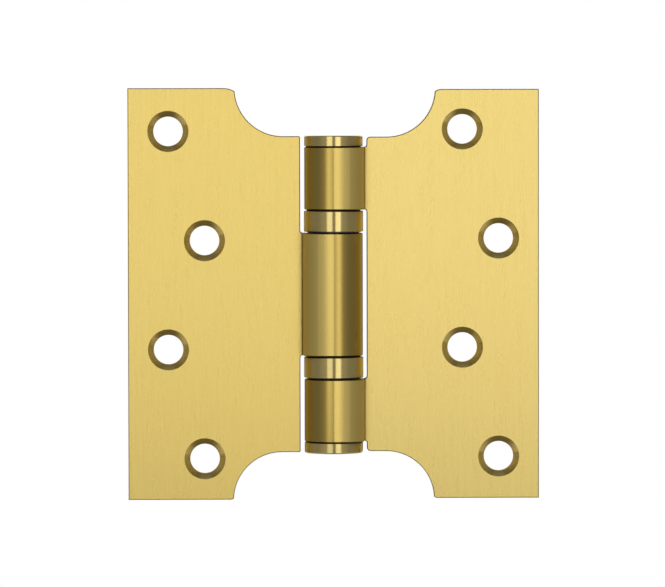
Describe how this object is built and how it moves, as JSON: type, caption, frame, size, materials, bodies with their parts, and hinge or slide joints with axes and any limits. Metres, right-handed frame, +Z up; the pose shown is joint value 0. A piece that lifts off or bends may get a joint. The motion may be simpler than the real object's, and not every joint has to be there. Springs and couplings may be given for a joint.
{
  "type": "parliament hinge",
  "caption": "Parliament hinge in satin brass: wide scooped leaves with countersunk screw holes swing on a ball-bearing barrel, from face to face to nearly back to back.",
  "frame": {"origin": "on the pin axis at half height, which is also the centre of the overall box", "axes": "+Z up the pin, +X towards the frame leaf, +Y out of the backs of the leaves; the countersunk faces look towards -Y"},
  "size_m": [0.102, 0.0146, 0.1022],
  "materials": {
    "leaf_brass": "satin, brushed lengthways",
    "turned_brass": "turned, satin",
    "pin_steel": "ground",
    "bearing_steel": "ground and polished",
    "cage_brass": "stamped"
  },
  "bodies": {
    "frame_leaf": {"frame_leaf": "leaf_brass", "hinge_pin": "pin_steel", "top_cap": "turned_brass", "bottom_cap": "turned_brass", "upper_bearing_housing": "turned_brass", "upper_bearing_upper_race": "bearing_steel", "lower_bearing_lower_race": "bearing_steel"},
    "door_leaf": {"door_leaf": "leaf_brass", "upper_bearing_lower_race": "bearing_steel", "lower_bearing_housing": "turned_brass", "lower_bearing_upper_race": "bearing_steel"},
    "upper_balls": {"upper_bearing_cage": "cage_brass", "upper_bearing_ball_01": "bearing_steel", "upper_bearing_ball_02": "bearing_steel", "upper_bearing_ball_03": "bearing_steel", "upper_bearing_ball_04": "bearing_steel", "upper_bearing_ball_05": "bearing_steel", "upper_bearing_ball_06": "bearing_steel", "upper_bearing_ball_07": "bearing_steel", "upper_bearing_ball_08": "bearing_steel", "upper_bearing_ball_09": "bearing_steel", "upper_bearing_ball_10": "bearing_steel", "upper_bearing_ball_11": "bearing_steel", "upper_bearing_ball_12": "bearing_steel", "upper_bearing_ball_13": "bearing_steel", "upper_bearing_ball_14": "bearing_steel"},
    "lower_balls": {"lower_bearing_cage": "cage_brass", "lower_bearing_ball_01": "bearing_steel", "lower_bearing_ball_02": "bearing_steel", "lower_bearing_ball_03": "bearing_steel", "lower_bearing_ball_04": "bearing_steel", "lower_bearing_ball_05": "bearing_steel", "lower_bearing_ball_06": "bearing_steel", "lower_bearing_ball_07": "bearing_steel", "lower_bearing_ball_08": "bearing_steel", "lower_bearing_ball_09": "bearing_steel", "lower_bearing_ball_10": "bearing_steel", "lower_bearing_ball_11": "bearing_steel", "lower_bearing_ball_12": "bearing_steel", "lower_bearing_ball_13": "bearing_steel", "lower_bearing_ball_14": "bearing_steel"}
  },
  "joints": [
    {"name": "leaf_swing", "type": "hinge", "parent": "frame_leaf", "child": "door_leaf", "pos_m": [0, 0, 0], "axis": [0, 0, 1], "range_deg": [-120, 180]},
    {"name": "upper_balls_roll", "type": "hinge", "parent": "frame_leaf", "child": "upper_balls", "pos_m": [0, 0, 0], "axis": [0, 0, 1], "range_deg": [-60, 90]},
    {"name": "lower_balls_roll", "type": "hinge", "parent": "frame_leaf", "child": "lower_balls", "pos_m": [0, 0, 0], "axis": [0, 0, 1], "range_deg": [-60, 90]}
  ],
  "couplings": [
    {"joint": "upper_balls_roll", "follows": "leaf_swing", "ratio": 0.5},
    {"joint": "lower_balls_roll", "follows": "leaf_swing", "ratio": 0.5}
  ]
}
